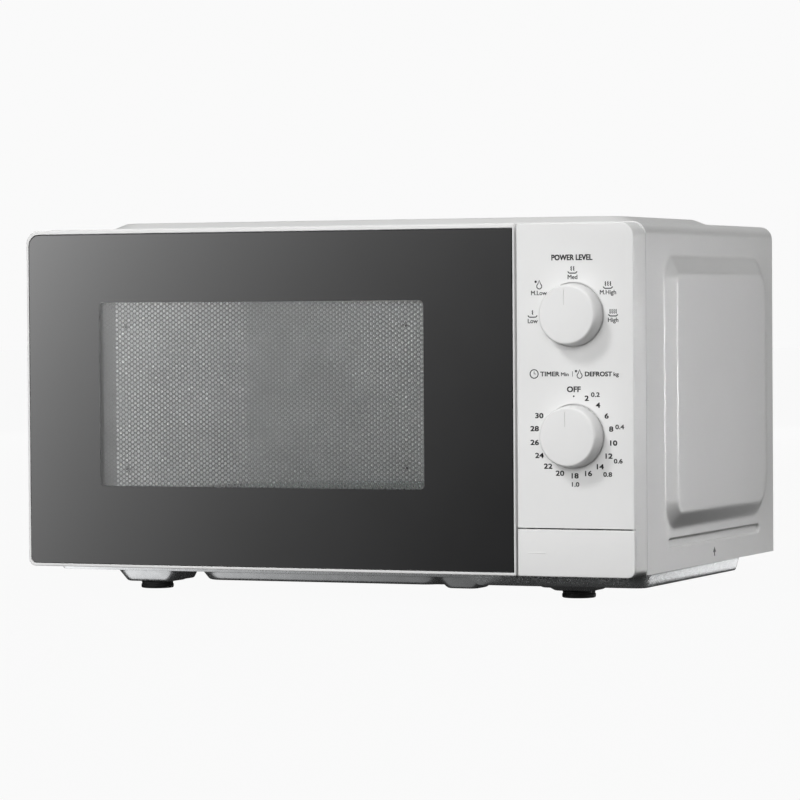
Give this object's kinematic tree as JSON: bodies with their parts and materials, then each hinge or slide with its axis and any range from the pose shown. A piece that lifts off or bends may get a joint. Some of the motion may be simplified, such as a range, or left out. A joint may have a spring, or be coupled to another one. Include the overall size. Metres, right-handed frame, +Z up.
{
  "type": "microwave oven",
  "caption": "Countertop microwave oven: folded steel cabinet, side-hinged dark glass door, push-to-open pad, power and timer dials, and a turntable in the cavity.",
  "frame": {"origin": "bottom centre of the bounding box, on the plane of the foot soles", "axes": "+X to the right as the user faces the front, +Y from the front to the back, +Z up"},
  "size_m": [0.4616, 0.313, 0.2584],
  "materials": {
    "white_steel": "satin powder coat",
    "white_plastic": "fine satin",
    "grey_plastic": "satin",
    "black_plastic": "satin",
    "black_glass": "polished tinted",
    "clear_glass": "polished",
    "rubber": "matt",
    "zinc": "galvanised",
    "bare_steel": "plain",
    "cavity_paint": "satin enamel",
    "winding": "varnished",
    "aluminium_can": "drawn",
    "mica": "matt",
    "board": "satin"
  },
  "bodies": {
    "root": {"cabinet": "white_steel", "rear_panel": "zinc", "rear_screw_1": "bare_steel", "rear_screw_2": "bare_steel", "rear_screw_3": "bare_steel", "rear_screw_4": "bare_steel", "cord_gland": "black_plastic", "base_plate": "zinc", "foot_front_left": "rubber", "foot_front_right": "rubber", "foot_rear_left": "rubber", "foot_rear_right": "rubber", "front_plate": "white_steel", "cavity_left": "cavity_paint", "cavity_right": "cavity_paint", "cavity_ceiling": "cavity_paint", "cavity_floor": "cavity_paint", "cavity_back": "cavity_paint", "waveguide_cover": "mica", "control_panel": "white_plastic", "timer_unit": "grey_plastic", "power_selector": "grey_plastic", "hinge_upper": "bare_steel", "hinge_lower": "bare_steel", "latch_bracket": "grey_plastic", "interlock_primary": "black_plastic", "interlock_monitor": "black_plastic", "interlock_secondary": "black_plastic", "waveguide": "zinc", "magnetron": "bare_steel", "transformer": "winding", "capacitor": "aluminium_can", "hv_diode": "black_plastic", "fan_housing": "grey_plastic", "fan_motor": "bare_steel", "oven_lamp": "clear_glass", "noise_filter": "board", "thermal_cutout": "black_plastic", "turntable_motor": "zinc"},
    "door": {"door_frame": "white_plastic", "door_glass": "black_glass", "door_screen": "zinc", "choke_cover": "grey_plastic", "door_film": "clear_glass"},
    "latch": {"door_latch": "black_plastic", "latch_spring": "bare_steel"},
    "pad": {"door_pad": "white_plastic"},
    "lever": {"release_lever": "white_plastic"},
    "power_knob": {"power_dial": "white_plastic", "power_shaft": "zinc"},
    "timer_knob": {"timer_dial": "white_plastic", "timer_shaft": "zinc"},
    "fan": {"fan_blade": "white_plastic"},
    "coupler": {"coupler": "white_plastic"},
    "tray": {"glass_tray": "clear_glass"},
    "ring": {"roller_ring": "white_plastic"},
    "roller_1": {"roller_1": "white_plastic"},
    "roller_2": {"roller_2": "white_plastic"},
    "roller_3": {"roller_3": "white_plastic"}
  },
  "joints": [
    {"name": "door_hinge", "type": "hinge", "parent": "root", "child": "door", "pos_m": [-0.217, -0.1305, 0], "axis": [0, 0, -1], "range_deg": [0, 100]},
    {"name": "latch_slide", "type": "slide", "parent": "door", "child": "latch", "axis": [0, 0, 1], "range_m": [0, 0.004], "stiffness_N_per_m": 10, "springref_m": -0.004, "deforming": ["latch_spring"]},
    {"name": "pad_press", "type": "hinge", "parent": "root", "child": "pad", "pos_m": [0.2225, -0.139, 0], "axis": [0, 0, -1], "range_deg": [0, 3.5], "stiffness_Nm_per_rad": 0.6, "springref_deg": -5.73},
    {"name": "lever_turn", "type": "hinge", "parent": "root", "child": "lever", "pos_m": [0, -0.1115, 0.056], "axis": [1, 0, 0], "range_deg": [0, 12.3]},
    {"name": "power_turn", "type": "hinge", "parent": "root", "child": "power_knob", "pos_m": [0.183, -0.1425, 0.192], "axis": [0, 1, 0], "range_deg": [-90, 90]},
    {"name": "timer_turn", "type": "hinge", "parent": "root", "child": "timer_knob", "pos_m": [0.183, -0.1425, 0.1117], "axis": [0, 1, 0], "range_deg": [0, 300]},
    {"name": "turntable_spin", "type": "hinge", "parent": "root", "child": "coupler", "pos_m": [-0.043, 0.009, 0], "axis": [0, 0, 1], "continuous": true},
    {"name": "tray_lift", "type": "slide", "parent": "coupler", "child": "tray", "axis": [0, 0, 1], "range_m": [0, 0.03]},
    {"name": "ring_spin", "type": "hinge", "parent": "root", "child": "ring", "pos_m": [-0.043, 0.009, 0], "axis": [0, 0, 1], "continuous": true},
    {"name": "roller_1_spin", "type": "hinge", "parent": "ring", "child": "roller_1", "pos_m": [0.049, 0.009, 0.048], "axis": [1, 0, 0], "continuous": true},
    {"name": "roller_2_spin", "type": "hinge", "parent": "ring", "child": "roller_2", "pos_m": [-0.089, 0.08867, 0.048], "axis": [-0.5, 0.866, 0], "continuous": true},
    {"name": "roller_3_spin", "type": "hinge", "parent": "ring", "child": "roller_3", "pos_m": [-0.089, -0.07067, 0.048], "axis": [-0.5, -0.866, 0], "continuous": true},
    {"name": "fan_spin", "type": "hinge", "parent": "root", "child": "fan", "pos_m": [0.163, 0.1285, 0.178], "axis": [0, 1, 0], "continuous": true}
  ],
  "couplings": [
    {"joint": "lever_turn", "follows": "pad_press", "ratio": 3.5},
    {"joint": "latch_slide", "follows": "pad_press", "m_per_rad": 0.0654},
    {"joint": "ring_spin", "follows": "turntable_spin", "ratio": 0.5},
    {"joint": "roller_1_spin", "follows": "turntable_spin", "ratio": -5.75},
    {"joint": "roller_2_spin", "follows": "turntable_spin", "ratio": -5.75},
    {"joint": "roller_3_spin", "follows": "turntable_spin", "ratio": -5.75}
  ]
}
